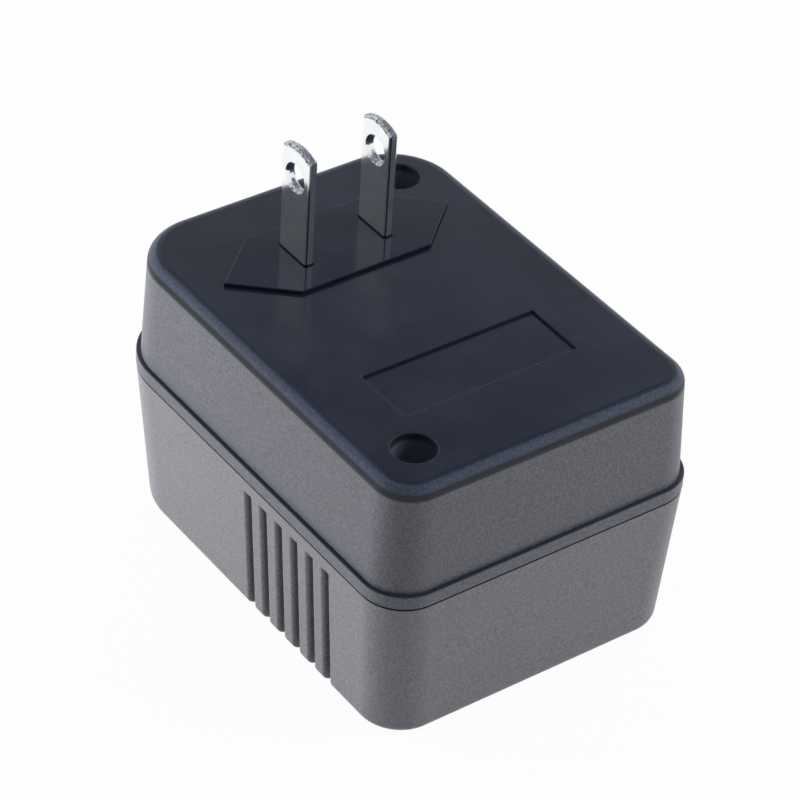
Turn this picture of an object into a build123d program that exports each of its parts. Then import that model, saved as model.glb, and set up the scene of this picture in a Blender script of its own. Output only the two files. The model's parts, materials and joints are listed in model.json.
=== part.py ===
from build123d import *
import os

# Travel voltage converter: a moulded box that plugs straight into a flat two-blade outlet.
# It holds a small transformer, and it has an outlet for round or flat pins in its other face.
# Millimetres. The box stands on its outlet face, with the blades up.
# Origin: middle of the resting face. X runs along the box, Y across it, Z up to the blades.

# Housing, outside
housing_length = 67.0
housing_width = 50.0
housing_height = 40.8
seam_height = 22.7
band_height = 1.95
band_proud = 0.6
seam_gap = 0.28
seam_step = 0.05
seam_edge_radius = 0.1
top_length = 64.2
top_width = 47.2
bottom_length = 65.4
bottom_width = 47.0
top_edge_radius = 1.8
bottom_edge_radius = 1.5
band_edge_radius = 0.2
# Upright corner radii. The end with the blades is rounder than the other end.
plain_end_radius_top = 5.1
plain_end_radius_seam = 6.2
plain_end_radius_bottom = 6.2
blade_end_radius_top = 9.3
blade_end_radius_seam = 10.6
blade_end_radius_bottom = 11.8

# Housing, inside
wall = 2.2
floor_thickness = 2.4
tongue_thickness = 0.9
tongue_height = 1.5
tongue_clearance = 0.1

# Air slots in both long sides, which run on round the bottom edge
slot_count = 6
slot_pitch = 3.56
slot_width = 1.1
slot_lip_radius = 0.5
slot_top = 20.5
slot_group_x = 10.1
slot_floor_reach = 5.0

# Blades of the flat two-pin plug
blade_x = -16.2
blade_pitch = 12.7
blade_width = 6.3
blade_thickness = 1.4
blade_tip_height = 17.5
blade_tip_radius = 6.2
blade_edge_chamfer = 0.3
blade_tip_chamfer = 0.35
blade_hole_radius = 1.8
blade_hole_height = 12.9
blade_hole_chamfer = 0.4
blade_shoulder_width = 8.2
blade_shoulder_height = 2.0
blade_tail_width = 3.0
blade_tail_length = 6.0
blade_tail_hole_radius = 0.7

# Six-sided outline shared by the plug insert and the outlet insert
hexagon_x = -15.7
hexagon_half_depth = 6.9
hexagon_flat_half = 10.3
hexagon_tip_half = 18.1
plug_pad_proud = 0.55
plug_pad_pocket = 1.2
plug_neck_inset = 1.4
plug_neck_depth = 3.0
insert_clearance = 0.05
pad_edge_radius = 0.12
catch_height = 0.9
catch_reach = 0.6
catch_length = 8.0

# Plate under the plug insert that traps the blade shoulders
retainer_length = 24.0
retainer_width = 10.4
retainer_thickness = 1.6
retainer_corner_radius = 1.5
retainer_screw_y = 10.2
retainer_screw_radius = 0.9
retainer_head_radius = 1.8
retainer_head_height = 1.1
retainer_boss_radius = 1.9
retainer_screw_length = 5.0

# Outlet insert, for round pins on 19 mm centres and flat blades on 12.7 mm centres
outlet_x = blade_x
round_pin_pitch = 19.0
round_hole_radius = 2.6
flat_slot_length = 7.0
flat_slot_width = 2.0
outlet_face_recess = 0.4
outlet_flange_inset = 1.4
outlet_flange_thickness = 1.4
outlet_body_depth = 17.6
chamber_length = 8.4
chamber_inner_y = 4.6
chamber_outer_y = 13.2
chamber_wall = 1.2
chamber_corner_radius = 3.0
entry_chamfer = 0.3
chamber_face_thickness = 2.6
contact_cover_thickness = 1.4

# Spring contacts in the outlet
contact_sheet = 0.4
contact_ring_radius = 2.25
contact_bottom = 3.6
contact_top = 19.5
contact_tail_width = 3.0
contact_tail_top = 25.0

# Transformer: stacked sheets standing in the YZ plane, coil round the middle leg
core_x = 10.0
core_bottom = 4.5
core_unit = 6.4
core_stack = 20.0
sheet_count = 40
sheet_varnish = 0.03
bobbin_wall = 0.8
bobbin_clearance = 0.1
bobbin_flange_length = 32.4
bobbin_flange_width = 25.2
bobbin_flange_radius = 4.2
winding_depth = 4.4
winding_end_clearance = 0.05
winding_corner_radius = 4.6
tape_thickness = 0.3
terminal_bar_width = 2.6
terminal_bar_height = 2.4
terminal_bar_length = 23.0
terminal_pin_radius = 0.4
terminal_pin_length = 4.6
terminal_pin_offset = 1.0
terminal_rows = (-9.0, -3.0, 3.0, 9.0)

# Heat fuse beside the coil
fuse_radius = 1.9
fuse_length = 9.0
fuse_end_radius = 0.45
fuse_wire_radius = 0.45
fuse_wire_length = 2.4
sleeve_radius = 2.3
sleeve_length = 12.0

# Foam pads over and under the core
pad_corner_radius = 1.0

# Leads inside the box
lead_radius = 0.65
lead_bend = 1.2
input_lead_drop = 2.4
input_lead_turn = 3.6
output_lead_turn = 2.6

# Assembly screws at two opposite corners, in deep wells
well_x = 24.7
well_y = 16.3
well_radius = 3.0
well_floor = 29.6
well_edge_radius = 0.2
screw_seat = 27.4
screw_pocket_radius = 2.65
boss_radius = 4.0
boss_bottom = 25.0
screw_hole_radius = 1.65
screw_radius = 1.45
screw_bore_radius = 1.5
screw_length = 14.0
screw_head_radius = 2.5
screw_head_height = 2.0
screw_hole_spare = 1.0
pillar_radius = 3.6
# Shares of a screw head's own size
head_rounding = 0.4
cross_reach = 1.2
cross_arm_share = 0.25

# Bare recess for a label
label_x_low = 9.4
label_x_high = 19.0
label_half_width = 13.6
label_depth = 0.45
label_corner_radius = 0.3
label_edge_radius = 0.15

# Ribs that hold the core
rib_thickness = 1.2
rib_height = 16.0
stop_rib_height = 4.6
stop_rib_length = 16.0
core_fit = 0.2

# Worked out from the driving sizes, with small lengths used in cutting and joining
overcut = 0.5
overlap = 0.4
touch = 0.01
band_top = seam_height + band_height
core_width = 6 * core_unit
core_height = 5 * core_unit
core_top = core_bottom + core_height
window_bottom = core_bottom + core_unit
window_top = window_bottom + 3 * core_unit
window_middle = (window_bottom + window_top) / 2
pad_top = housing_height + plug_pad_proud
neck_bottom = housing_height - plug_pad_pocket - plug_neck_depth
shoulder_bottom = neck_bottom - blade_shoulder_height
tail_bottom = shoulder_bottom - blade_tail_length
retainer_bottom = shoulder_bottom - retainer_thickness
blade_sides = (-blade_pitch / 2, blade_pitch / 2)
chamber_top = floor_thickness + outlet_body_depth
ceiling = housing_height - wall
screw_places = ((well_x, -well_y), (-well_x, well_y))
terminal_bar_x = core_x - bobbin_flange_length / 2 - terminal_bar_width / 2 + overlap
terminal_height = window_top - bobbin_wall / 2
terminal_tip_x = terminal_bar_x - terminal_pin_length / 2 - terminal_pin_offset


def section(length, width, plain_radius, blade_radius, height):
    """Four-cornered outline with its own corner radius at each end, at one height."""
    with BuildSketch(Plane.XY.offset(height)) as outline:
        Rectangle(length, width)
        fillet(outline.vertices().group_by(Axis.X)[-1], plain_radius)
        fillet(outline.vertices().group_by(Axis.X)[0], blade_radius)
    return outline.sketch


def between(lower, upper):
    """Solid with straight drafted sides between two outlines."""
    return loft([lower.face(), upper.face()], ruled=True)


def upright_box(x, y, low, high, length, width):
    """Box centred on x and y, from one height to another."""
    return Pos(x, y, (low + high) / 2) * Box(length, width, high - low)


def upright_rod(x, y, low, high, radius):
    """Round bar along Z, from one height to another."""
    return Pos(x, y, (low + high) / 2) * Cylinder(radius, high - low)


def rounded_block(x, low, high, length, width, radius):
    """Block with rounded upright edges, centred on y = 0."""
    face = Plane.XY.offset(low) * Pos(x, 0) * RectangleRounded(length, width, radius)
    return extrude(face, high - low)


def hexagon_block(low, high, inset=0.0):
    """Block on the six-sided outline, drawn in by a margin all round."""
    back = hexagon_x - hexagon_half_depth
    front = hexagon_x + hexagon_half_depth
    corners = [
        (front, -hexagon_flat_half),
        (front, hexagon_flat_half),
        (hexagon_x, hexagon_tip_half),
        (back, hexagon_flat_half),
        (back, -hexagon_flat_half),
        (hexagon_x, -hexagon_tip_half),
    ]
    outline = Plane.XY.offset(low) * make_face(Polyline(*corners, close=True))
    if inset:
        outline = offset(outline, -inset, kind=Kind.INTERSECTION)
    return extrude(outline, high - low)


def seam_section(height, shrink):
    """Outline at the seam, drawn in all round by a margin."""
    return section(
        housing_length - 2 * shrink,
        housing_width - 2 * shrink,
        plain_end_radius_seam - shrink,
        blade_end_radius_seam - shrink,
        height,
    )


def top_section(height, shrink):
    """Outline at the cover face, drawn in all round by a margin."""
    return section(
        top_length - 2 * shrink,
        top_width - 2 * shrink,
        plain_end_radius_top - shrink,
        blade_end_radius_top - shrink,
        height,
    )


def bottom_section(height, shrink):
    """Outline at the resting face, drawn in all round by a margin."""
    return section(
        bottom_length - 2 * shrink,
        bottom_width - 2 * shrink,
        plain_end_radius_bottom - shrink,
        blade_end_radius_bottom - shrink,
        height,
    )


def core_ribs(low, high, wall_width):
    """Two ribs on each long wall that reach in to the sides of the core."""
    ribs = []
    reach = core_width / 2 + core_fit
    depth = wall_width / 2 - reach
    for step in (-2, 2):
        x = slot_group_x + step * slot_pitch
        for side in (-1, 1):
            ribs.append(upright_box(x, side * (reach + depth / 2), low, high, rib_thickness, depth))
    return ribs


def core_stops(low, high):
    """Ribs at both ends of the core's foot or head."""
    stops = []
    for side in (-1, 1):
        x = core_x + side * (core_stack / 2 + core_fit + rib_thickness / 2)
        stops.append(upright_box(x, 0, low, high, rib_thickness, stop_rib_length))
    return stops


def make_plug_side_cover():
    """Upper shell: cover face, drafted walls, and the band that stands proud over the seam."""
    walls = between(seam_section(band_top - overcut, band_proud), top_section(housing_height, 0))
    walls = fillet(walls.faces().sort_by(Axis.Z)[-1].edges(), top_edge_radius)
    band = extrude(seam_section(seam_height, 0), band_height)
    band = fillet(band.faces().sort_by(Axis.Z)[-1].edges(), band_edge_radius)
    cover = walls + band
    cover -= between(seam_section(seam_height - overcut, wall + band_proud), top_section(ceiling, wall))
    groove_margin = wall + seam_step - tongue_thickness - tongue_clearance
    groove_top = seam_height + tongue_height + tongue_clearance
    cover -= between(
        seam_section(seam_height - overcut, groove_margin), seam_section(groove_top, groove_margin)
    )
    for x, y in screw_places:
        cover += upright_rod(x, y, boss_bottom, ceiling + overlap, boss_radius)
    for x, y in screw_places:
        cover -= upright_rod(x, y, well_floor, housing_height + overcut, well_radius)
        cover -= upright_rod(x, y, screw_seat, well_floor + overcut, screw_pocket_radius)
        cover -= upright_rod(x, y, boss_bottom - overcut, screw_seat + overcut, screw_hole_radius)
    rims = cover.edges().filter_by(GeomType.CIRCLE)
    rims = rims.filter_by_position(Axis.Z, housing_height - touch, housing_height + touch)
    cover = fillet(rims.filter_by(lambda edge: abs(edge.radius - well_radius) < touch), well_edge_radius)
    label_middle = (label_x_low + label_x_high) / 2
    label_length = label_x_high - label_x_low
    cover -= rounded_block(
        label_middle,
        housing_height - label_depth,
        housing_height + overcut,
        label_length,
        2 * label_half_width,
        label_corner_radius,
    )
    rim = cover.edges().filter_by_position(Axis.Z, housing_height - touch, housing_height + touch)
    rim = rim.filter_by(lambda edge: abs(edge.center().X - label_middle) < label_length / 2 + touch)
    cover = fillet(rim.filter_by(lambda edge: abs(edge.center().Y) < label_half_width + touch), label_edge_radius)
    cover -= hexagon_block(housing_height - plug_pad_pocket, housing_height + overcut)
    cover -= hexagon_block(ceiling - overcut, housing_height, plug_neck_inset)
    for rib in core_ribs(core_top - stop_rib_height, ceiling + overlap, top_width - wall):
        cover += rib
    for stop in core_stops(core_top - stop_rib_height / 2, ceiling + overlap):
        cover += stop
    return cover


def slot_centres():
    """X of each air slot."""
    first = slot_group_x - (slot_count - 1) / 2 * slot_pitch
    return [first + index * slot_pitch for index in range(slot_count)]


def air_slots(side):
    """Tools that cut the slots of one long side, down the wall and round on to the resting face."""
    tools = []
    outer = housing_width / 2 + overcut
    wall_reach = bottom_width / 2 - wall - overlap
    floor_reach = bottom_width / 2 - slot_floor_reach
    for x in slot_centres():
        for inner, top in ((wall_reach, slot_top), (floor_reach, floor_thickness + overcut)):
            middle = side * (outer + inner) / 2
            tools.append(upright_box(x, middle, -overcut, top, slot_width, outer - inner))
    return tools


def slot_lips(shell):
    """Edges where the long sides of the air slots meet the outside of the shell."""
    lips = []
    for centre in slot_centres():
        for x in (centre - slot_width / 2, centre + slot_width / 2):
            for edge in shell.edges().filter_by_position(Axis.X, x - touch, x + touch):
                box = edge.bounding_box()
                down_the_wall = box.size.Z > slot_top / 2 and abs(edge.center().Y) > bottom_width / 2
                round_the_edge = box.max.Z < bottom_edge_radius + touch and box.size.Z > overlap
                along_the_floor = box.max.Z < touch and box.size.Y > overcut
                if down_the_wall or round_the_edge or along_the_floor:
                    lips.append(edge)
    return lips


def make_socket_side_base():
    """Lower shell: resting face with the outlet's opening, air slots, screw pillars and core cradle."""
    top = seam_height - seam_gap
    base = between(bottom_section(0, 0), seam_section(top, seam_step))
    base = fillet(base.faces().sort_by(Axis.Z)[0].edges(), bottom_edge_radius)
    rim = base.faces().sort_by(Axis.Z)[-1].edges()
    base = fillet(rim, seam_edge_radius)
    for side in (-1, 1):
        for tool in air_slots(side):
            base -= tool
    base = fillet(slot_lips(base), slot_lip_radius)
    inner_wall = wall + seam_step
    base -= between(bottom_section(floor_thickness, wall), seam_section(top + overcut, inner_wall))
    tongue_top = seam_height + tongue_height
    tongue_margin = inner_wall - tongue_thickness
    tongue = between(seam_section(top - overlap, tongue_margin), seam_section(tongue_top, tongue_margin))
    tongue -= between(
        seam_section(top - overcut, inner_wall), seam_section(tongue_top + overcut, inner_wall)
    )
    base += tongue
    base -= hexagon_block(-overcut, floor_thickness + overcut, outlet_flange_inset)
    for x, y in screw_places:
        base += upright_rod(x, y, floor_thickness - overlap, boss_bottom, pillar_radius)
    for x, y in screw_places:
        hole_bottom = screw_seat - screw_length - screw_hole_spare
        base -= upright_rod(x, y, hole_bottom, boss_bottom + overcut, screw_bore_radius)
    for rib in core_ribs(floor_thickness - overlap, floor_thickness + rib_height, bottom_width - wall):
        base += rib
    for stop in core_stops(floor_thickness - overlap, floor_thickness + stop_rib_height):
        base += stop
    return base


def make_plug_insert():
    """Six-sided pad that carries the blades, with a neck and two catches under the cover face."""
    flange_bottom = housing_height - plug_pad_pocket
    flange = hexagon_block(flange_bottom, pad_top, insert_clearance)
    flange = fillet(flange.faces().sort_by(Axis.Z)[-1].edges(), pad_edge_radius)
    neck_inset = plug_neck_inset + insert_clearance
    insert = flange + hexagon_block(neck_bottom, flange_bottom, neck_inset)
    catch_top = ceiling - insert_clearance
    for side in (-1, 1):
        x = hexagon_x + side * (hexagon_half_depth - neck_inset)
        insert += upright_box(x, 0, catch_top - catch_height, catch_top, 2 * catch_reach, catch_length)
    for side in (-1, 1):
        y = side * retainer_screw_y
        insert += upright_rod(blade_x, y, shoulder_bottom, neck_bottom + overlap, retainer_boss_radius)
        insert -= upright_rod(
            blade_x, y, shoulder_bottom - overcut, ceiling, retainer_screw_radius + insert_clearance
        )
    for y in blade_sides:
        insert -= upright_box(
            blade_x,
            y,
            neck_bottom - overcut,
            pad_top + overcut,
            blade_width + 2 * insert_clearance,
            blade_thickness + 2 * insert_clearance,
        )
    return insert


def blade_outline():
    """Flat blade with a bowed tip, shoulders inside the box and a narrow tail for the lead."""
    tip = housing_height + blade_tip_height
    half = blade_width / 2
    corner = tip - blade_tip_radius + (blade_tip_radius**2 - half**2) ** 0.5
    blade = ThreePointArc((-half, corner), (0, tip), (half, corner))
    half_shoulder = blade_shoulder_width / 2
    half_tail = blade_tail_width / 2
    sides = Polyline(
        (half, corner),
        (half, neck_bottom),
        (half_shoulder, neck_bottom),
        (half_shoulder, shoulder_bottom),
        (half_tail, shoulder_bottom),
        (half_tail, tail_bottom),
        (-half_tail, tail_bottom),
        (-half_tail, shoulder_bottom),
        (-half_shoulder, shoulder_bottom),
        (-half_shoulder, neck_bottom),
        (-half, neck_bottom),
        (-half, corner),
    )
    return make_face([blade, sides])


def make_plug_blade(y):
    """One plated blade, with a countersunk hole near its tip."""
    blade = extrude(Plane.XZ * blade_outline(), blade_thickness / 2, both=True)
    hole_place = Pos(0, 0, housing_height + blade_hole_height) * Rot(90, 0, 0)
    tail_place = Pos(0, 0, tail_bottom + blade_tail_width / 2) * Rot(90, 0, 0)
    blade -= hole_place * Cylinder(blade_hole_radius, 4 * blade_thickness)
    blade -= tail_place * Cylinder(blade_tail_hole_radius, 4 * blade_thickness)
    arcs = blade.edges().filter_by(GeomType.CIRCLE)
    tip_arcs = arcs.filter_by(lambda edge: abs(edge.radius - blade_tip_radius) < touch)
    on_faces = tip_arcs.filter_by(lambda edge: edge.bounding_box().size.Y < touch)
    blade = chamfer(on_faces, blade_tip_chamfer)
    arcs = blade.edges().filter_by(GeomType.CIRCLE)
    rims = arcs.filter_by(lambda edge: abs(edge.radius - blade_hole_radius) < touch)
    blade = chamfer(rims, blade_hole_chamfer)
    long_edges = blade.edges().filter_by(Axis.Z).filter_by_position(
        Axis.Z, housing_height, housing_height + blade_tip_height
    )
    blade = chamfer(long_edges.filter_by(lambda edge: edge.length > blade_width), blade_edge_chamfer)
    return Pos(blade_x, y, 0) * blade


def make_blade_retainer():
    """Plate screwed under the plug insert. It holds the blade shoulders up against the insert."""
    plate = rounded_block(
        blade_x, retainer_bottom, shoulder_bottom, retainer_width, retainer_length, retainer_corner_radius
    )
    for y in blade_sides:
        plate -= upright_box(
            blade_x,
            y,
            retainer_bottom - overcut,
            shoulder_bottom + overcut,
            blade_tail_width + 4 * insert_clearance,
            blade_thickness + 4 * insert_clearance,
        )
    hole_radius = retainer_screw_radius + 2 * insert_clearance
    for side in (-1, 1):
        plate -= upright_rod(
            blade_x,
            side * retainer_screw_y,
            retainer_bottom - overcut,
            shoulder_bottom + overcut,
            hole_radius,
        )
    return plate


def cross_screw(x, y, seat, length, shaft_radius, head_radius, head_height, direction):
    """Pan-head screw with a cross recess. Its shaft runs from the seat against the head's direction."""
    head = Pos(0, 0, head_height / 2) * Cylinder(head_radius, head_height)
    head = fillet(head.edges().sort_by(Axis.Z)[-1], head_rounding * head_height)
    long_arm = cross_reach * head_radius
    short_arm = cross_arm_share * long_arm
    for length_x, length_y in ((long_arm, short_arm), (short_arm, long_arm)):
        head -= Pos(0, 0, head_height) * Box(length_x, length_y, head_height)
    screw = head + Pos(0, 0, -length / 2) * Cylinder(shaft_radius, length)
    screw = chamfer(screw.edges().sort_by(Axis.Z)[0], shaft_radius / 2)
    turn = 0 if direction > 0 else 180
    return Pos(x, y, seat) * Rot(turn, 0, 0) * screw


def make_retainer_screws():
    """Two small screws that hold the blade retainer to the plug insert."""
    screws = []
    for side in (-1, 1):
        screws.append(
            cross_screw(
                blade_x,
                side * retainer_screw_y,
                retainer_bottom,
                retainer_screw_length,
                retainer_screw_radius,
                retainer_head_radius,
                retainer_head_height,
                -1,
            )
        )
    return Compound(screws)


def make_housing_screws():
    """Two long screws, down in the wells, that hold the shells together."""
    screws = []
    for x, y in screw_places:
        screws.append(
            cross_screw(
                x, y, screw_seat, screw_length, screw_radius, screw_head_radius, screw_head_height, 1
            )
        )
    return Compound(screws)


def make_outlet_insert():
    """Outlet face with its two entries, and a chamber behind each for a spring contact."""
    face_bottom = outlet_face_recess
    insert = hexagon_block(face_bottom, floor_thickness, outlet_flange_inset + insert_clearance)
    insert += hexagon_block(floor_thickness, floor_thickness + outlet_flange_thickness)
    body_width = chamber_length + 2 * chamber_wall
    body_length = 2 * (chamber_outer_y + chamber_wall)
    insert += rounded_block(
        outlet_x, floor_thickness, chamber_top, body_width, body_length, chamber_corner_radius
    )
    chamber_floor = face_bottom + chamber_face_thickness
    middle_y = (chamber_inner_y + chamber_outer_y) / 2
    for side in (-1, 1):
        insert -= upright_box(
            outlet_x,
            side * middle_y,
            chamber_floor,
            chamber_top + overcut,
            chamber_length,
            chamber_outer_y - chamber_inner_y,
        )
        insert -= upright_rod(
            outlet_x, side * round_pin_pitch / 2, 0, chamber_floor + overcut, round_hole_radius
        )
        insert -= upright_box(
            outlet_x, side * blade_pitch / 2, 0, chamber_floor + overcut, flat_slot_length, flat_slot_width
        )
    mouths = insert.edges().filter_by_position(Axis.Z, face_bottom - touch, face_bottom + touch)
    around_entry = mouths.filter_by(
        lambda edge: abs(edge.center().X - outlet_x) <= flat_slot_length / 2 + touch
        and abs(edge.center().Y) < round_pin_pitch / 2 + round_hole_radius
    )
    return chamfer(around_entry, entry_chamfer)


def make_spring_contact(side):
    """Bent strip that grips a round pin in its ring and a flat blade in its fork."""
    pin_y = round_pin_pitch / 2
    blade_y = blade_pitch / 2
    ring = Circle(contact_ring_radius + contact_sheet) - Circle(contact_ring_radius)
    fork_y = blade_y + flat_slot_width / 2
    opening = pin_y - fork_y
    below_fork = Pos(0, -opening - contact_ring_radius / 2)
    ring -= below_fork * Rectangle(4 * contact_ring_radius, contact_ring_radius)
    profile = Pos(0, pin_y) * ring
    finger_start = (contact_ring_radius**2 - (opening - contact_sheet) ** 2) ** 0.5
    finger = flat_slot_length / 2 - finger_start
    for end in (-1, 1):
        x = end * (finger_start + finger / 2)
        profile += Pos(x, fork_y + contact_sheet / 2) * Rectangle(finger, contact_sheet)
    leaf_y = blade_y - flat_slot_width / 2 - contact_sheet / 2
    leaf = Pos(0, leaf_y) * Rectangle(blade_width, contact_sheet)
    height = contact_top - contact_bottom
    grip = Pos(0, 0, contact_bottom) * extrude(profile + leaf, height)
    far_y = pin_y + contact_ring_radius + contact_sheet
    near_y = leaf_y - contact_sheet / 2
    bridge = upright_box(
        0, (near_y + far_y) / 2, contact_top, contact_top + contact_sheet, flat_slot_length, far_y - near_y
    )
    tail = upright_box(0, pin_y, contact_top, contact_tail_top, contact_tail_width, contact_sheet)
    contact = grip + bridge + tail
    if side < 0:
        contact = mirror(contact, about=Plane.XZ)
    return Pos(outlet_x, 0, 0) * contact


def make_contact_cover():
    """Lid over both chambers, with a slot for each contact's tail."""
    width = chamber_length + 2 * chamber_wall
    length = 2 * (chamber_outer_y + chamber_wall)
    lid_top = chamber_top + contact_cover_thickness
    lid = rounded_block(outlet_x, chamber_top, lid_top, width, length, chamber_corner_radius)
    for side in (-1, 1):
        lid -= upright_box(
            outlet_x,
            side * round_pin_pitch / 2,
            chamber_top - overcut,
            lid_top + overcut,
            contact_tail_width + 4 * insert_clearance,
            contact_sheet + 4 * insert_clearance,
        )
    return lid


def core_sheets(outline):
    """Stack of thin steel sheets of one outline, with varnish between them."""
    pitch = core_stack / sheet_count
    sheets = []
    for index in range(sheet_count):
        x = core_x - core_stack / 2 + index * pitch + sheet_varnish / 2
        sheets.append(extrude(Plane.YZ.offset(x) * outline, pitch - sheet_varnish))
    return Compound(sheets)


def make_core_e_sheets():
    """E-shaped sheets: a foot and three legs."""
    foot = Pos(0, (core_bottom + window_bottom) / 2) * Rectangle(core_width, core_unit)
    leg_middle = (core_bottom + window_top) / 2
    leg_height = window_top - core_bottom
    outline = foot + Pos(0, leg_middle) * Rectangle(2 * core_unit, leg_height)
    for side in (-1, 1):
        y = side * (core_width - core_unit) / 2
        outline += Pos(y, leg_middle) * Rectangle(core_unit, leg_height)
    return core_sheets(outline.face())


def make_core_i_sheets():
    """Straight sheets that close the top of the core."""
    outline = Pos(0, (window_top + core_top) / 2) * Rectangle(core_width, core_unit)
    return core_sheets(outline.face())


def coil_block(low, high, margin, radius):
    """Block round the middle leg, a margin larger than the leg on every side."""
    length = core_stack + 2 * margin
    width = 2 * core_unit + 2 * margin
    return rounded_block(core_x, low, high, length, width, radius)


def make_coil_bobbin():
    """Plastic former: a tube round the middle leg, three flanges, and a bar for the terminals."""
    inner = bobbin_clearance
    outer = bobbin_clearance + bobbin_wall
    bobbin = coil_block(window_bottom, window_top, outer, bobbin_wall)
    for height in (window_bottom, window_middle - bobbin_wall / 2, window_top - bobbin_wall):
        bobbin += rounded_block(
            core_x,
            height,
            height + bobbin_wall,
            bobbin_flange_length,
            bobbin_flange_width - 2 * bobbin_clearance,
            bobbin_flange_radius,
        )
    bobbin += upright_box(
        terminal_bar_x,
        0,
        terminal_height - terminal_bar_height / 2,
        terminal_height + terminal_bar_height / 2,
        terminal_bar_width,
        terminal_bar_length,
    )
    bobbin -= coil_block(window_bottom - overcut, window_top + overcut, inner, bobbin_wall / 4)
    for y in terminal_rows:
        bobbin -= terminal_rod(y, terminal_pin_radius)
    return bobbin


def terminal_rod(y, radius):
    """Bar along X at one terminal's place."""
    return Pos(terminal_tip_x + terminal_pin_length / 2, y, terminal_height) * Rot(0, 90, 0) * Cylinder(
        radius, terminal_pin_length
    )


def make_terminal_pins():
    """Four tinned pins pressed into the bobbin's bar."""
    return Compound([terminal_rod(y, terminal_pin_radius) for y in terminal_rows])


def winding_span(upper):
    """Lowest and highest point of one half of the bobbin's winding space."""
    if upper:
        low = window_middle + bobbin_wall / 2
        high = window_top - bobbin_wall
    else:
        low = window_bottom + bobbin_wall
        high = window_middle - bobbin_wall / 2
    return low + winding_end_clearance, high - winding_end_clearance


def make_winding(upper):
    """Closed body of enamelled wire wound in one half of the bobbin."""
    low, high = winding_span(upper)
    tube = bobbin_clearance + bobbin_wall
    winding = coil_block(low, high, tube + winding_depth, winding_corner_radius)
    return winding - coil_block(low - overcut, high + overcut, tube, bobbin_wall)


def make_winding_tape(upper):
    """Yellow insulating tape wrapped round one winding."""
    low, high = winding_span(upper)
    wound = bobbin_clearance + bobbin_wall + winding_depth
    tape = coil_block(low, high, wound + tape_thickness, winding_corner_radius + tape_thickness)
    return tape - coil_block(low - overcut, high + overcut, wound, winding_corner_radius)


def fuse_place():
    """Where the heat fuse lies, along Y against the taped upper winding."""
    wound = bobbin_clearance + bobbin_wall + winding_depth + tape_thickness
    low, high = winding_span(True)
    x = core_x + core_stack / 2 + wound + sleeve_radius
    return Pos(x, 0, (low + high) / 2) * Rot(90, 0, 0)


def make_thermal_fuse():
    """Small can with a wire at each end."""
    can = Cylinder(fuse_radius, fuse_length)
    can = fillet(can.edges().filter_by(GeomType.CIRCLE), fuse_end_radius)
    wires = Cylinder(fuse_wire_radius, fuse_length + 2 * fuse_wire_length)
    return fuse_place() * (can + wires)


def make_fuse_sleeve():
    """Insulating tube over the heat fuse."""
    tube = Cylinder(sleeve_radius, sleeve_length) - Cylinder(fuse_radius, sleeve_length + overcut)
    return fuse_place() * tube


def make_core_pad(low, high):
    """Foam pad between the core and a shell."""
    length = core_stack - rib_thickness
    return rounded_block(core_x, low, high, length, core_width - rib_thickness, pad_corner_radius)


def make_lead(points):
    """Insulated wire along straight runs joined by round bends."""
    path = FilletPolyline(*points, radius=lead_bend)
    start = Plane(origin=path @ 0, z_dir=path % 0)
    return sweep(start * Circle(lead_radius), path=path)


def make_input_lead(side):
    """Lead from a blade's tail to an outer terminal."""
    tail_y = side * (blade_pitch / 2 + blade_thickness / 2 + lead_radius)
    terminal_y = side * terminal_rows[-1]
    low = tail_bottom - input_lead_drop
    turn_x = terminal_tip_x - input_lead_turn
    return make_lead(
        [
            (blade_x, tail_y, tail_bottom + blade_tail_width),
            (blade_x, tail_y, low),
            (turn_x, terminal_y, low),
            (turn_x, terminal_y, terminal_height),
            (terminal_tip_x, terminal_y, terminal_height),
        ]
    )


def make_output_lead(side):
    """Lead from an inner terminal to a contact's tail in the outlet."""
    terminal_y = side * terminal_rows[2]
    contact_y = side * (round_pin_pitch / 2 - contact_sheet / 2 - lead_radius)
    turn_x = terminal_tip_x - output_lead_turn
    low = contact_tail_top - contact_tail_width / 2
    return make_lead(
        [
            (terminal_tip_x, terminal_y, terminal_height),
            (turn_x, terminal_y, terminal_height),
            (turn_x, terminal_y, low),
            (turn_x, contact_y, low),
            (outlet_x - contact_tail_width / 2, contact_y, low),
        ]
    )


nodes = {
    "plug_side_cover": make_plug_side_cover(),
    "socket_side_base": make_socket_side_base(),
    "plug_insert": make_plug_insert(),
    "plug_blade_left": make_plug_blade(blade_sides[0]),
    "plug_blade_right": make_plug_blade(blade_sides[1]),
    "blade_retainer": make_blade_retainer(),
    "retainer_screws": make_retainer_screws(),
    "outlet_insert": make_outlet_insert(),
    "spring_contact_left": make_spring_contact(-1),
    "spring_contact_right": make_spring_contact(1),
    "contact_cover": make_contact_cover(),
    "core_e_sheets": make_core_e_sheets(),
    "core_i_sheets": make_core_i_sheets(),
    "coil_bobbin": make_coil_bobbin(),
    "terminal_pins": make_terminal_pins(),
    "primary_winding": make_winding(True),
    "secondary_winding": make_winding(False),
    "primary_tape": make_winding_tape(True),
    "secondary_tape": make_winding_tape(False),
    "thermal_fuse": make_thermal_fuse(),
    "fuse_sleeve": make_fuse_sleeve(),
    "core_pad_lower": make_core_pad(floor_thickness, core_bottom),
    "core_pad_upper": make_core_pad(core_top, ceiling),
    "input_lead_left": make_input_lead(-1),
    "input_lead_right": make_input_lead(1),
    "output_lead_left": make_output_lead(-1),
    "output_lead_right": make_output_lead(1),
    "housing_screws": make_housing_screws(),
}

os.makedirs("parts", exist_ok=True)
for name, shape in nodes.items():
    export_step(shape, f"parts/{name}.step")
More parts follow.
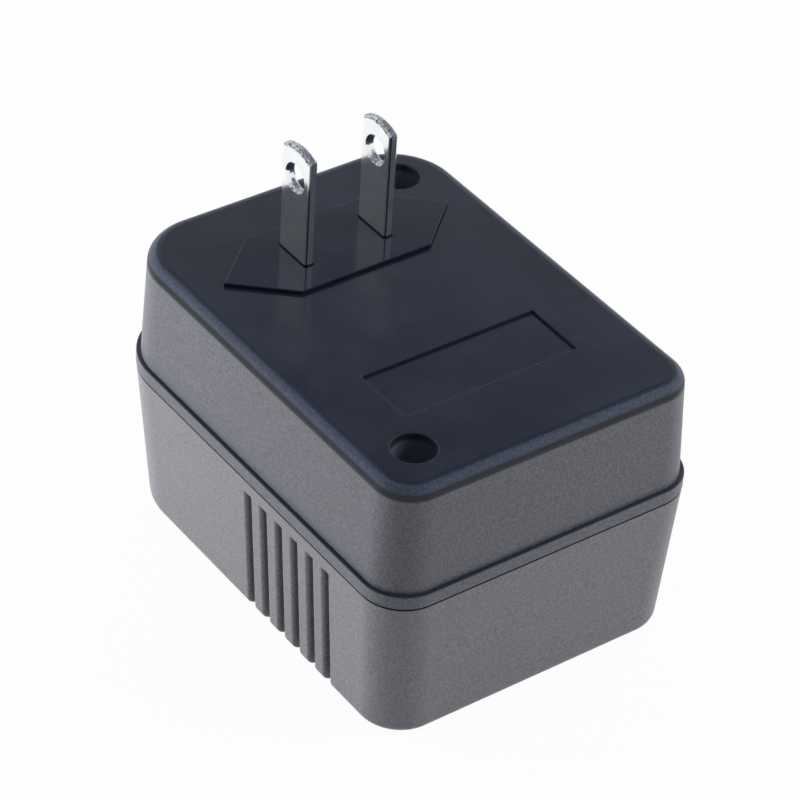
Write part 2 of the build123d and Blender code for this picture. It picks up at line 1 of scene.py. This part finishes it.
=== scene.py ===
import bpy
import math
from mathutils import Matrix, Vector
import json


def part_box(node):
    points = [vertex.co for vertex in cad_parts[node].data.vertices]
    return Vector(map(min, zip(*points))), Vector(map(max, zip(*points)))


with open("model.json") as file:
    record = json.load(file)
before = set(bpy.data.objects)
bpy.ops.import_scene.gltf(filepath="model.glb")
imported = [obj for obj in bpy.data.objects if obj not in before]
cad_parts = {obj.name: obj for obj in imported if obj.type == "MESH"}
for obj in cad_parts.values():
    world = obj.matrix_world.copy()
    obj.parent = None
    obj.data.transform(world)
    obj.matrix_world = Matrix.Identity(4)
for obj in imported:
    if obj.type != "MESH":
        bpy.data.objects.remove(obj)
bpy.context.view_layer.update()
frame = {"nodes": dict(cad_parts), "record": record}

MM = 0.001
scene = bpy.context.scene

# The photograph's viewpoint, in degrees, millimetres and pixels of its 800 pixel frame
CAMERA_AZIMUTH = 52.33
CAMERA_ELEVATION = 37.95
CAMERA_ROLL = 3.86
CAMERA_DISTANCE = 470.05
CAMERA_TARGET = (-4.31, 3.40, 20.8)
CAMERA_FOCAL_PIXELS = 3483.8
PHOTO_SIZE = 800
SENSOR = 36.0
# Nearest and farthest place that the camera sees, in metres
CAMERA_CLIP = (0.01, 20)

# Places on the object, in millimetres
COVER_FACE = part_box("plug_side_cover")[1].z / MM
LABEL_FLOOR = COVER_FACE - 0.45
TOP_EDGE_START = COVER_FACE - 1.9
PAD_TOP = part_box("plug_insert")[1].z / MM
BLADE_X = (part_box("plug_blade_left")[0].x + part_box("plug_blade_left")[1].x) / 2 / MM
BLADE_HALF_WIDTH = 3.15
# Inside this half length and half width lie only the wells, the label recess and the inner faces
INNER_X = 27.9
INNER_Y = 19.5

# Soft steps from one finish to the next. Each pair is where a step starts and ends.
# Steps by place, in millimetres
INNER_X_STEP = (INNER_X, INNER_X + 0.4)
INNER_Y_STEP = (INNER_Y, INNER_Y + 0.4)
INNER_HEIGHT_STEP = (0.6, 1.4)
FACE_HEIGHT_STEP = (LABEL_FLOOR - 0.4, LABEL_FLOOR - 0.1)
TOP_EDGE_STEP = (TOP_EDGE_START - 0.30, TOP_EDGE_START + 0.14)
WELL_STEP = (LABEL_FLOOR - 1.2, LABEL_FLOOR - 0.3)
# Where the blades' lines of painted shade lie: the outer side of each chamfer, and up from the foot
CHAMFER_SHADE_STEP = (BLADE_HALF_WIDTH - 0.20, BLADE_HALF_WIDTH - 0.10)
FOOT_SHADE_STEP = (PAD_TOP + 0.12, PAD_TOP + 0.42)
# Steps by how far the surface faces up, from 0 for a wall to 1 for a level face
LEVEL_STEP = (0.985, 0.998)
EDGE_FOOT_STEP = (0.32, 0.60)
EDGE_TOP_STEP = (0.90, 0.985)
LEDGE_STEP = (0.30, 0.65)
SHEARED_STEP = (0.50, 0.62)
# Steps by how far a blade's surface faces along its width: from its broad sides over to its
# chamfers, and from those over to its narrow sides
CHAMFER_STEP = (0.4, 0.6)
NARROW_SIDE_STEP = (0.8, 0.95)
# Steps by the value of a noise
NOISE_STEP = (0.3, 0.7)
CLOUD_STEP = (0.35, 0.65)
SPECKLE_STEP = (0.38, 0.62)
GLINT_STEP = (0.42, 0.64)
BROKEN_STEP = (0.42, 0.58)
BROKEN_SHINE_STEP = (0.4, 0.6)
# The whole range of a mask
WHOLE = (0.0, 1.0)

# Colours of the housing
WALL_DARK = (0.106, 0.107, 0.122)
WALL_LIGHT = (0.166, 0.168, 0.190)
# Painted light: lighter copies of the wall colours, for the lower shell
LIT_BASE_WALL_DARK = (0.172, 0.171, 0.187)
LIT_BASE_WALL_LIGHT = (0.252, 0.250, 0.272)
# Painted shade: the dark foot of the rounded edge round the cover face
EDGE_FOOT = (0.007, 0.009, 0.015)
# Painted shade: the dark colour of the ledge over the seam and of other wall surfaces that turn to face
# up
LEDGE = (0.026, 0.030, 0.042)
# Painted glint: the grainy light band on the rounded edge round the cover face, in dark and light grains
EDGE_DARK = (0.046, 0.055, 0.084)
EDGE_LIGHT = (0.074, 0.086, 0.126)
FACE_DARK = (0.0084, 0.0126, 0.0255)
FACE_LIGHT = (0.0112, 0.0162, 0.0310)
WELL_RIM = (0.022, 0.025, 0.034)
WELL_WALL = (0.130, 0.140, 0.175)
PAD_DARK = (0.0080, 0.0125, 0.0250)
PAD_LIGHT = (0.0105, 0.0150, 0.0285)
OUTLET_DARK = (0.024, 0.026, 0.031)
OUTLET_LIGHT = (0.031, 0.033, 0.038)
# Colours of the blades' plating and of their sheared tips
PLATE_DARK = (0.87, 0.885, 0.91)
PLATE_LIGHT = (0.94, 0.95, 0.96)
# Painted shade: the dark lines along the chamfers and at the blades' foot
PLATE_SHADOW = (0.12, 0.12, 0.13)
SHEARED_DARK = (0.10, 0.10, 0.11)
SHEARED_LIGHT = (0.80, 0.80, 0.80)
# Colours of the enamelled wire
COPPER_DARK = (0.22, 0.06, 0.02)
COPPER_LIGHT = (0.62, 0.24, 0.10)

# Roughness of each finish, at the low end of its noise and at the high end
WALL_ROUGHNESS = (0.34, 0.46)
FACE_ROUGHNESS = (0.19, 0.23)
PAD_ROUGHNESS = (0.08, 0.13)
OUTLET_ROUGHNESS = (0.24, 0.34)
PLATE_ROUGHNESS = (0.07, 0.13)
SHEARED_ROUGHNESS = (0.45, 0.25)
COPPER_ROUGHNESS = (0.25, 0.4)
# Specular level of the black mouldings, and how far the plating is metal
HOUSING_SHINE = 0.32
PAD_SHINE = 0.32
PLATE_METALLIC = 0.97

# Sizes of the grains, patches and specks of the noises, in millimetres
GRAIN_SIZE = 0.30
FACE_CLOUD_SIZE = 9.0
PAD_CLOUD_SIZE = 5.0
PAD_SMEAR_SIZE = 1.5
PAD_WAVE_SIZE = 2.0
OUTLET_CLOUD_SIZE = 4.0
OUTLET_SMEAR_SIZE = 0.8
OUTLET_WAVE_SIZE = 0.5
LINE_SIZE = 1.0
TORN_SIZE = 0.34
SPECK_SIZE = 0.22
PLATE_PATCH_SIZE = 2.5
COPPER_SMEAR_SIZE = 0.5
# How the noise of the blades is stretched: long lines up the blade, and marks across the tip
LINE_STRETCH = (9.0, 9.0, 0.25)
TORN_STRETCH = (1.0, 3.0, 1.0)

# Depth of each relief, in millimetres
GRAIN_DEPTH = 0.06
WAVE_DEPTH = 0.01
PLATE_DEPTH = 0.004
WIRE_DEPTH = 0.1
METAL_DEPTH = 0.008
PLASTIC_DEPTH = 0.02
# Share of the grain's depth that is left on the smooth face
FACE_GRAIN_SHARE = 0.05
# Relief of the blades' specks and torn tips, as multiples of the relief of the lines
SPECK_RELIEF = 1.5
TORN_RELIEF = 14.0
# Turns of the winding: how close they lie, and how far they stray
WIRE_SCALE = 1.2
WIRE_STRAY = 0.4
# How much the roughness of the plain finishes varies
METAL_ROUGHNESS_RANGE = 0.15
PLASTIC_ROUGHNESS_RANGE = 0.12

# Places of a Mix node's sockets: two numbers, two colours, and the mixed colour
NUMBER_A, NUMBER_B = 2, 3
COLOUR_A, COLOUR_B = 6, 7
COLOUR_OUT = 2


def make_camera():
    """Long lens at the photograph's angle, turned a little about its own axis."""
    azimuth = math.radians(CAMERA_AZIMUTH)
    elevation = math.radians(CAMERA_ELEVATION)
    roll = math.radians(CAMERA_ROLL)
    back = Vector((
        math.sin(azimuth) * math.cos(elevation),
        -math.cos(azimuth) * math.cos(elevation),
        math.sin(elevation),
    ))
    right = (-back).cross(Vector((0, 0, 1))).normalized()
    up = right.cross(-back)
    turned_right = right * math.cos(roll) + up * math.sin(roll)
    turned_up = up * math.cos(roll) - right * math.sin(roll)
    data = bpy.data.cameras.new("camera")
    data.sensor_fit = "HORIZONTAL"
    data.sensor_width = SENSOR
    data.lens = SENSOR * CAMERA_FOCAL_PIXELS / PHOTO_SIZE
    data.clip_start, data.clip_end = CAMERA_CLIP
    camera = bpy.data.objects.new("camera", data)
    scene.collection.objects.link(camera)
    place = (Vector(CAMERA_TARGET) + back * CAMERA_DISTANCE) * MM
    turn = Matrix((turned_right, turned_up, back)).transposed()
    camera.matrix_world = Matrix.Translation(place) @ turn.to_4x4()
    scene.camera = camera


def feed(tree, value, socket):
    """Links a socket, or writes a number."""
    if isinstance(value, bpy.types.NodeSocket):
        tree.links.new(value, socket)
    else:
        socket.default_value = value


def maths(tree, operation, first, second=0):
    """One sum on sockets or numbers."""
    node = tree.nodes.new("ShaderNodeMath")
    node.operation = operation
    feed(tree, first, node.inputs[0])
    feed(tree, second, node.inputs[1])
    return node.outputs[0]


def soft_span(tree, value, low, high, low_out=0.0, high_out=1.0):
    """Maps one span of a value on to another, with a soft start and end."""
    node = tree.nodes.new("ShaderNodeMapRange")
    node.interpolation_type = "SMOOTHSTEP"
    tree.links.new(value, node.inputs["Value"])
    node.inputs["From Min"].default_value = low
    node.inputs["From Max"].default_value = high
    node.inputs["To Min"].default_value = low_out
    node.inputs["To Max"].default_value = high_out
    return node.outputs["Result"]


def blend_colours(tree, share, first, second):
    """Mix of two colours, each a socket or a written colour."""
    node = tree.nodes.new("ShaderNodeMix")
    node.data_type = "RGBA"
    tree.links.new(share, node.inputs["Factor"])
    for place, colour in ((COLOUR_A, first), (COLOUR_B, second)):
        written = not isinstance(colour, bpy.types.NodeSocket)
        feed(tree, (*colour, 1) if written else colour, node.inputs[place])
    return node.outputs[COLOUR_OUT]


class Nodes:
    """Short calls for the node tree of one material, which works in millimetres."""

    def __init__(self, name):
        self.material = bpy.data.materials.new(name)
        self.material.use_nodes = True
        self.tree = self.material.node_tree
        self.shader = self.tree.nodes["Principled BSDF"]
        place = self.tree.nodes.new("ShaderNodeTexCoord")
        scale = self.tree.nodes.new("ShaderNodeVectorMath")
        scale.operation = "SCALE"
        scale.inputs["Scale"].default_value = 1 / MM
        self.link(place.outputs["Object"], scale.inputs[0])
        self.place = scale.outputs[0]

    def link(self, source, target):
        self.tree.links.new(source, target)

    def set(self, name, value):
        """A value goes on the shader's own socket; a socket is linked to it."""
        feed(self.tree, value, self.shader.inputs[name])

    def stretched(self, scale):
        """The place, scaled by a different amount along each axis."""
        node = self.tree.nodes.new("ShaderNodeVectorMath")
        node.operation = "MULTIPLY"
        self.link(self.place, node.inputs[0])
        node.inputs[1].default_value = scale
        return node.outputs[0]

    def noise(self, size, detail=2.0, roughness=0.5, place=None):
        """Noise with grains of about one size in millimetres."""
        node = self.tree.nodes.new("ShaderNodeTexNoise")
        self.link(place or self.place, node.inputs["Vector"])
        node.inputs["Scale"].default_value = 1 / size
        node.inputs["Detail"].default_value = detail
        node.inputs["Roughness"].default_value = roughness
        return node.outputs["Fac"]

    def rise(self, value, step, ends=(0.0, 1.0)):
        """Goes from the first end to the second over a step of the value."""
        return soft_span(self.tree, value, *step, *ends)

    def fall(self, value, step):
        """Goes from 1 to 0 over a step of the value."""
        return self.rise(value, step, (1.0, 0.0))

    def calculate(self, operation, first, second=0):
        return maths(self.tree, operation, first, second)

    def both(self, first, second):
        """Where two masks overlap."""
        return self.calculate("MULTIPLY", first, second)

    def axis(self, name, vector=None):
        node = self.tree.nodes.new("ShaderNodeSeparateXYZ")
        self.link(vector or self.place, node.inputs[0])
        return node.outputs[name]

    def normal(self):
        node = self.tree.nodes.new("ShaderNodeNewGeometry")
        return node.outputs["Normal"]

    def mix_number(self, share, first, second):
        node = self.tree.nodes.new("ShaderNodeMix")
        self.link(share, node.inputs["Factor"])
        self.link(first, node.inputs[NUMBER_A])
        self.link(second, node.inputs[NUMBER_B])
        return node.outputs[0]

    def mix_colour(self, share, first, second):
        return blend_colours(self.tree, share, first, second)

    def bump(self, height, distance, strength):
        """Relief of a height map, whose full depth is a distance in millimetres."""
        node = self.tree.nodes.new("ShaderNodeBump")
        node.inputs["Strength"].default_value = strength
        node.inputs["Distance"].default_value = distance * MM
        self.link(height, node.inputs["Height"])
        return node.outputs["Normal"]


def housing_plastic(name, wall_dark, wall_light):
    """Black moulding. Spark-eroded walls look grey, and the cover face is smoother and darker."""
    n = Nodes(name)
    upward = n.axis("Z", n.normal())
    height = n.axis("Z")
    grain = n.noise(GRAIN_SIZE, roughness=0.6)
    cloud = n.rise(n.noise(FACE_CLOUD_SIZE, detail=3.0), CLOUD_STEP)
    # Where the smooth face and the inner faces lie
    smooth = n.both(n.rise(upward, LEVEL_STEP), n.rise(height, FACE_HEIGHT_STEP))
    inward_x = n.fall(n.calculate("ABSOLUTE", n.axis("X")), INNER_X_STEP)
    inward_y = n.fall(n.calculate("ABSOLUTE", n.axis("Y")), INNER_Y_STEP)
    inside = n.both(n.both(inward_x, inward_y), n.rise(height, INNER_HEIGHT_STEP))
    # The walls, with painted shade on the ledge over the seam, where the surface turns to face up
    wall = n.mix_colour(n.rise(grain, SPECKLE_STEP), wall_dark, wall_light)
    skin = n.mix_colour(n.rise(upward, LEDGE_STEP), wall, LEDGE)
    # The rounded edge round the cover face, painted: from its foot of painted shade over a grainy
    # painted glint up to the colour of the face
    painted_glint = n.mix_colour(n.rise(grain, GLINT_STEP), EDGE_DARK, EDGE_LIGHT)
    edge = n.mix_colour(n.rise(upward, EDGE_FOOT_STEP), EDGE_FOOT, painted_glint)
    edge = n.mix_colour(n.rise(upward, EDGE_TOP_STEP), edge, FACE_LIGHT)
    skin = n.mix_colour(n.rise(height, TOP_EDGE_STEP), skin, edge)
    # The wells and the face
    well = n.mix_colour(n.fall(height, WELL_STEP), WELL_RIM, WELL_WALL)
    skin = n.mix_colour(inside, skin, well)
    face = n.mix_colour(cloud, FACE_DARK, FACE_LIGHT)
    n.set("Base Color", n.mix_colour(smooth, skin, face))
    wall_rough = n.rise(grain, NOISE_STEP, WALL_ROUGHNESS)
    face_rough = n.rise(cloud, WHOLE, FACE_ROUGHNESS)
    n.set("Roughness", n.mix_number(smooth, wall_rough, face_rough))
    n.set("Specular IOR Level", HOUSING_SHINE)
    depth = n.calculate("MULTIPLY", grain, n.rise(smooth, WHOLE, (1.0, FACE_GRAIN_SHARE)))
    n.set("Normal", n.bump(depth, GRAIN_DEPTH, strength=0.8))
    return n.material


def pad_plastic():
    """Glossy black moulding of the pad that carries the blades."""
    n = Nodes("pad_plastic")
    cloud = n.rise(n.noise(PAD_CLOUD_SIZE, detail=3.0), CLOUD_STEP)
    n.set("Base Color", n.mix_colour(cloud, PAD_DARK, PAD_LIGHT))
    n.set("Roughness", n.rise(n.noise(PAD_SMEAR_SIZE), NOISE_STEP, PAD_ROUGHNESS))
    n.set("Specular IOR Level", PAD_SHINE)
    n.set("Normal", n.bump(n.noise(PAD_WAVE_SIZE), WAVE_DEPTH, strength=0.3))
    return n.material


def outlet_plastic():
    """Smooth black moulding of the outlet face."""
    n = Nodes("outlet_plastic")
    cloud = n.rise(n.noise(OUTLET_CLOUD_SIZE, detail=3.0), CLOUD_STEP)
    n.set("Base Color", n.mix_colour(cloud, OUTLET_DARK, OUTLET_LIGHT))
    n.set("Roughness", n.rise(n.noise(OUTLET_SMEAR_SIZE, detail=3.0), NOISE_STEP, OUTLET_ROUGHNESS))
    n.set("Normal", n.bump(n.noise(OUTLET_WAVE_SIZE), WAVE_DEPTH, strength=0.3))
    return n.material


def blade_plating():
    """Bright plating with fine lines along the blade and a rougher sheared tip."""
    n = Nodes("blade_plating")
    lines = n.noise(LINE_SIZE, detail=3.0, roughness=0.6, place=n.stretched(LINE_STRETCH))
    torn = n.noise(TORN_SIZE, detail=3.0, roughness=0.7, place=n.stretched(TORN_STRETCH))
    specks = n.noise(SPECK_SIZE, detail=3.0, roughness=0.7)
    patches = n.rise(n.noise(PLATE_PATCH_SIZE, detail=3.0), NOISE_STEP)
    sheared = n.rise(n.axis("Z", n.normal()), SHEARED_STEP)
    # Painted shade: dark lines at the outer side of the upright chamfers and at the foot
    from_middle = n.calculate("ABSOLUTE", n.calculate("SUBTRACT", n.axis("X"), BLADE_X))
    sideways = n.calculate("ABSOLUTE", n.axis("X", n.normal()))
    chamfer = n.both(n.rise(sideways, CHAMFER_STEP), n.fall(sideways, NARROW_SIDE_STEP))
    chamfer_shade = n.both(chamfer, n.rise(from_middle, CHAMFER_SHADE_STEP))
    foot_shade = n.fall(n.axis("Z"), FOOT_SHADE_STEP)
    plated = n.mix_colour(patches, PLATE_DARK, PLATE_LIGHT)
    plated = n.mix_colour(n.calculate("MAXIMUM", chamfer_shade, foot_shade), plated, PLATE_SHADOW)
    broken = n.mix_colour(n.rise(torn, BROKEN_STEP), SHEARED_DARK, SHEARED_LIGHT)
    n.set("Base Color", n.mix_colour(sheared, plated, broken))
    n.set("Metallic", PLATE_METALLIC)
    smooth = n.rise(lines, NOISE_STEP, PLATE_ROUGHNESS)
    rough = n.rise(torn, BROKEN_SHINE_STEP, SHEARED_ROUGHNESS)
    n.set("Roughness", n.mix_number(sheared, smooth, rough))
    fine = n.calculate("ADD", lines, n.calculate("MULTIPLY", specks, SPECK_RELIEF))
    tears = n.calculate("MULTIPLY", torn, n.rise(sheared, WHOLE, (0.0, TORN_RELIEF)))
    n.set("Normal", n.bump(n.calculate("ADD", fine, tears), PLATE_DEPTH, strength=0.35))
    return n.material


def plain_metal(name, dark, light, rough, size):
    """Metal with small changes of colour and shine, in patches of one size in millimetres."""
    n = Nodes(name)
    patches = n.rise(n.noise(size, detail=4.0, roughness=0.6), NOISE_STEP)
    n.set("Base Color", n.mix_colour(patches, dark, light))
    n.set("Metallic", 1.0)
    ends = (rough, rough + METAL_ROUGHNESS_RANGE)
    n.set("Roughness", n.rise(n.noise(size / 3, detail=3.0), NOISE_STEP, ends))
    n.set("Normal", n.bump(n.noise(size / 4, detail=3.0), METAL_DEPTH, strength=0.4))
    return n.material


def plain_plastic(name, dark, light, rough, size):
    """Moulded or soft material with small changes of colour and a faint texture."""
    n = Nodes(name)
    patches = n.rise(n.noise(size, detail=4.0, roughness=0.6), NOISE_STEP)
    n.set("Base Color", n.mix_colour(patches, dark, light))
    ends = (rough, rough + PLASTIC_ROUGHNESS_RANGE)
    n.set("Roughness", n.rise(n.noise(size / 4, detail=3.0), NOISE_STEP, ends))
    n.set("Normal", n.bump(n.noise(size / 8, detail=3.0), PLASTIC_DEPTH, strength=0.4))
    return n.material


def winding_copper():
    """Enamelled wire, turn beside turn."""
    n = Nodes("winding_copper")
    turns = n.tree.nodes.new("ShaderNodeTexWave")
    turns.bands_direction = "Z"
    turns.inputs["Scale"].default_value = WIRE_SCALE
    turns.inputs["Distortion"].default_value = WIRE_STRAY
    n.link(n.place, turns.inputs["Vector"])
    height = turns.outputs["Fac"]
    # Painted shade: the colour follows the relief of the turns and darkens the grooves between them
    n.set("Base Color", n.mix_colour(height, COPPER_DARK, COPPER_LIGHT))
    n.set("Metallic", 1.0)
    n.set("Roughness", n.rise(n.noise(COPPER_SMEAR_SIZE, detail=3.0), NOISE_STEP, COPPER_ROUGHNESS))
    n.set("Normal", n.bump(height, WIRE_DEPTH, strength=0.8))
    return n.material


# The plain finishes: dark and light colour, lowest roughness, and size of the patches in millimetres
METALS = {
    "screw_steel": ((0.46, 0.46, 0.48), (0.60, 0.60, 0.61), 0.25, 1.0),
    "contact_bronze": ((0.60, 0.40, 0.22), (0.76, 0.54, 0.31), 0.22, 1.0),
    "core_steel": ((0.26, 0.24, 0.23), (0.42, 0.41, 0.41), 0.40, 1.0),
    "pin_tin": ((0.64, 0.64, 0.65), (0.74, 0.74, 0.74), 0.28, 0.5),
    "fuse_can": ((0.62, 0.62, 0.64), (0.74, 0.74, 0.76), 0.24, 1.0),
}
PLASTICS = {
    "inner_plastic": ((0.68, 0.66, 0.60), (0.78, 0.76, 0.70), 0.42, 2.0),
    "bobbin_nylon": ((0.78, 0.76, 0.69), (0.87, 0.86, 0.80), 0.38, 2.0),
    "tape_yellow": ((0.78, 0.56, 0.06), (0.88, 0.68, 0.12), 0.22, 2.0),
    "sleeve_black": ((0.035, 0.035, 0.035), (0.06, 0.06, 0.06), 0.55, 2.0),
    "pad_foam": ((0.06, 0.06, 0.062), (0.12, 0.12, 0.12), 0.85, 0.8),
    "input_insulation": ((0.48, 0.05, 0.04), (0.58, 0.08, 0.06), 0.40, 2.0),
    "output_insulation": ((0.05, 0.05, 0.055), (0.08, 0.08, 0.085), 0.40, 2.0),
}
MATERIALS = {
    "housing_plastic": housing_plastic("housing_plastic", WALL_DARK, WALL_LIGHT),
    "pad_plastic": pad_plastic(),
    "outlet_plastic": outlet_plastic(),
    "blade_plating": blade_plating(),
    "winding_copper": winding_copper(),
    **{name: plain_metal(name, *finish) for name, finish in METALS.items()},
    **{name: plain_plastic(name, *finish) for name, finish in PLASTICS.items()},
}
# The lower shell's walls are painted lighter than the cover's: painted light for the bright floor that
# they mirror
LIT_BASE_PLASTIC = housing_plastic("housing_plastic_base_lit", LIT_BASE_WALL_DARK, LIT_BASE_WALL_LIGHT)


def dress_nodes():
    """Gives every CAD node the finish of its slot in the record."""
    for row in frame["record"]["subparts"]:
        name = row["node"]
        node = frame["nodes"][name]
        finish = LIT_BASE_PLASTIC if name == "socket_side_base" else MATERIALS[row["material_slot"]]
        node.data.materials.clear()
        node.data.materials.append(finish)


# The floor: half its side in metres, how far it lies under the object in millimetres, its colour
# as light falls on it, and the share of plain white in what the camera and gloss see of it
FLOOR_HALF = 3.0
FLOOR_DROP = 0.02
FLOOR_COLOUR = (0.88, 0.88, 0.88)
FLOOR_ROUGHNESS = 0.9
FLOOR_WHITE_SHARE = 0.96
# The lamps face this place, in metres
LAMP_CENTRE = (0.0, 0.0, 0.02)
# Each lamp: its azimuth and elevation in degrees, distance and diameter in metres, strength,
# and whether gloss mirrors it. A strength of 1 shows as white.
LAMPS = (
    ("lamp_left", 309, 8, 0.26, 0.14, 13.2, False),
    ("lamp_front_left", 330, 8, 0.40, 0.21, 3.3, False),
    ("lamp_right", 141, 40, 0.30, 0.16, 6.5, False),
    ("lamp_right_low", 150, 8, 0.42, 0.22, 0.8, True),
)
# Soft round patches of the sky: azimuth, elevation, radius and soft edge in degrees, and strength
SKY_PATCHES = (
    (0, 90, 38, 12, 0.8),
    (232, 24, 14, 12, 0.9),
)
SKY_BASE = 0.03
SKY_COLOUR = (0.80, 0.88, 1.0)
WHITE = (1.0, 1.0, 1.0)
# The pale backdrop as gloss mirrors it: it fades between these elevations to a dim ceiling,
# and a dim panel hangs down in front of it, given as a patch is
BACKDROP = (0.92, 0.95, 1.0)
BACKDROP_TOP = (38, 46)
DIM_PANEL = (232.5, 41.5, 6.0, 3.0, 1.0)
CEILING = (0.235, 0.265, 0.355)


def shown_rays(tree):
    """1 for rays that show the white surroundings: to the camera, mirrored, or through glass."""
    path = tree.nodes.new("ShaderNodeLightPath")
    mirrored = maths(tree, "MAXIMUM", path.outputs["Is Glossy Ray"], path.outputs["Is Transmission Ray"])
    return maths(tree, "MAXIMUM", mirrored, path.outputs["Is Camera Ray"])


def mix_shaders(tree, share, first, second):
    """Mix of two shaders."""
    node = tree.nodes.new("ShaderNodeMixShader")
    for source, target in zip((share, first, second), node.inputs):
        tree.links.new(source, target)
    return node.outputs[0]


def floor_material():
    """Pale and matt, nearly white as it is seen, and clear from below."""
    material = bpy.data.materials.new("floor")
    material.use_nodes = True
    tree = material.node_tree
    shader = tree.nodes["Principled BSDF"]
    shader.inputs["Base Color"].default_value = (*FLOOR_COLOUR, 1)
    shader.inputs["Roughness"].default_value = FLOOR_ROUGHNESS
    shader.inputs["Specular IOR Level"].default_value = 0.0
    white = tree.nodes.new("ShaderNodeEmission")
    white.inputs["Strength"].default_value = 1.0
    share = maths(tree, "MULTIPLY", shown_rays(tree), FLOOR_WHITE_SHARE)
    seen = mix_shaders(tree, share, shader.outputs[0], white.outputs[0])
    underside = tree.nodes.new("ShaderNodeNewGeometry").outputs["Backfacing"]
    clear = tree.nodes.new("ShaderNodeBsdfTransparent").outputs[0]
    tree.links.new(mix_shaders(tree, underside, seen, clear), tree.nodes["Material Output"].inputs[0])
    return material


def make_floor():
    """Plain floor under the object, which keeps the shadow."""
    half = FLOOR_HALF
    corners = [(-half, -half, 0), (half, -half, 0), (half, half, 0), (-half, half, 0)]
    mesh = bpy.data.meshes.new("floor")
    mesh.from_pydata(corners, [], [(0, 1, 2, 3)])
    mesh.materials.append(floor_material())
    floor = bpy.data.objects.new("floor", mesh)
    floor.location.z = -FLOOR_DROP * MM
    scene.collection.objects.link(floor)


def direction(azimuth, elevation):
    """Unit vector towards a place in the sky, with azimuth 0 in front of the -Y wall."""
    turn = math.radians(azimuth)
    rise = math.radians(elevation)
    return Vector((
        math.sin(turn) * math.cos(rise),
        -math.cos(turn) * math.cos(rise),
        math.sin(rise),
    ))


def make_lamps():
    """Soft round lamps that face the object."""
    for name, azimuth, elevation, distance, diameter, strength, mirrored in LAMPS:
        data = bpy.data.lights.new(name, "AREA")
        data.shape = "DISK"
        data.size = diameter
        data.energy = strength * math.pi * math.pi * diameter**2 / 4
        lamp = bpy.data.objects.new(name, data)
        away = direction(azimuth, elevation)
        lamp.location = Vector(LAMP_CENTRE) + away * distance
        lamp.rotation_mode = "QUATERNION"
        lamp.rotation_quaternion = (-away).to_track_quat("-Z", "Y")
        lamp.visible_glossy = mirrored
        scene.collection.objects.link(lamp)


def sky_patch(tree, place, azimuth, elevation, radius, soft, strength):
    """Strength of one soft round patch of the sky."""
    closeness = tree.nodes.new("ShaderNodeVectorMath")
    closeness.operation = "DOT_PRODUCT"
    tree.links.new(place, closeness.inputs[0])
    closeness.inputs[1].default_value = direction(azimuth, elevation)
    outer = math.cos(math.radians(radius + soft))
    inner = math.cos(math.radians(radius - soft))
    return soft_span(tree, closeness.outputs["Value"], outer, inner, 0.0, strength)


def make_world():
    """White to the camera. As light it is a dim sky with a few soft patches."""
    world = bpy.data.worlds.new("world")
    scene.world = world
    world.use_nodes = True
    tree = world.node_tree
    tree.nodes.clear()
    place = tree.nodes.new("ShaderNodeTexCoord").outputs["Generated"]
    strength = SKY_BASE
    for patch in SKY_PATCHES:
        strength = maths(tree, "ADD", sky_patch(tree, place, *patch), strength)
    light = tree.nodes.new("ShaderNodeBackground")
    light.inputs["Color"].default_value = (*SKY_COLOUR, 1)
    tree.links.new(strength, light.inputs["Strength"])
    height = tree.nodes.new("ShaderNodeSeparateXYZ")
    tree.links.new(place, height.inputs[0])
    low, high = (math.sin(math.radians(elevation)) for elevation in BACKDROP_TOP)
    overhead = soft_span(tree, height.outputs["Z"], low, high)
    overhead = maths(tree, "MAXIMUM", overhead, sky_patch(tree, place, *DIM_PANEL))
    surroundings = blend_colours(tree, overhead, BACKDROP, CEILING)
    to_camera = tree.nodes.new("ShaderNodeLightPath").outputs["Is Camera Ray"]
    backdrop = tree.nodes.new("ShaderNodeBackground")
    tree.links.new(blend_colours(tree, to_camera, surroundings, WHITE), backdrop.inputs["Color"])
    output = tree.nodes.new("ShaderNodeOutputWorld")
    shown = mix_shaders(tree, shown_rays(tree), light.outputs[0], backdrop.outputs[0])
    tree.links.new(shown, output.inputs[0])


def save_sizes():
    """Imports json, and does nothing else."""
    import json


make_camera()
dress_nodes()
make_floor()
make_lamps()
make_world()
scene.view_settings.view_transform = "Standard"
save_sizes()
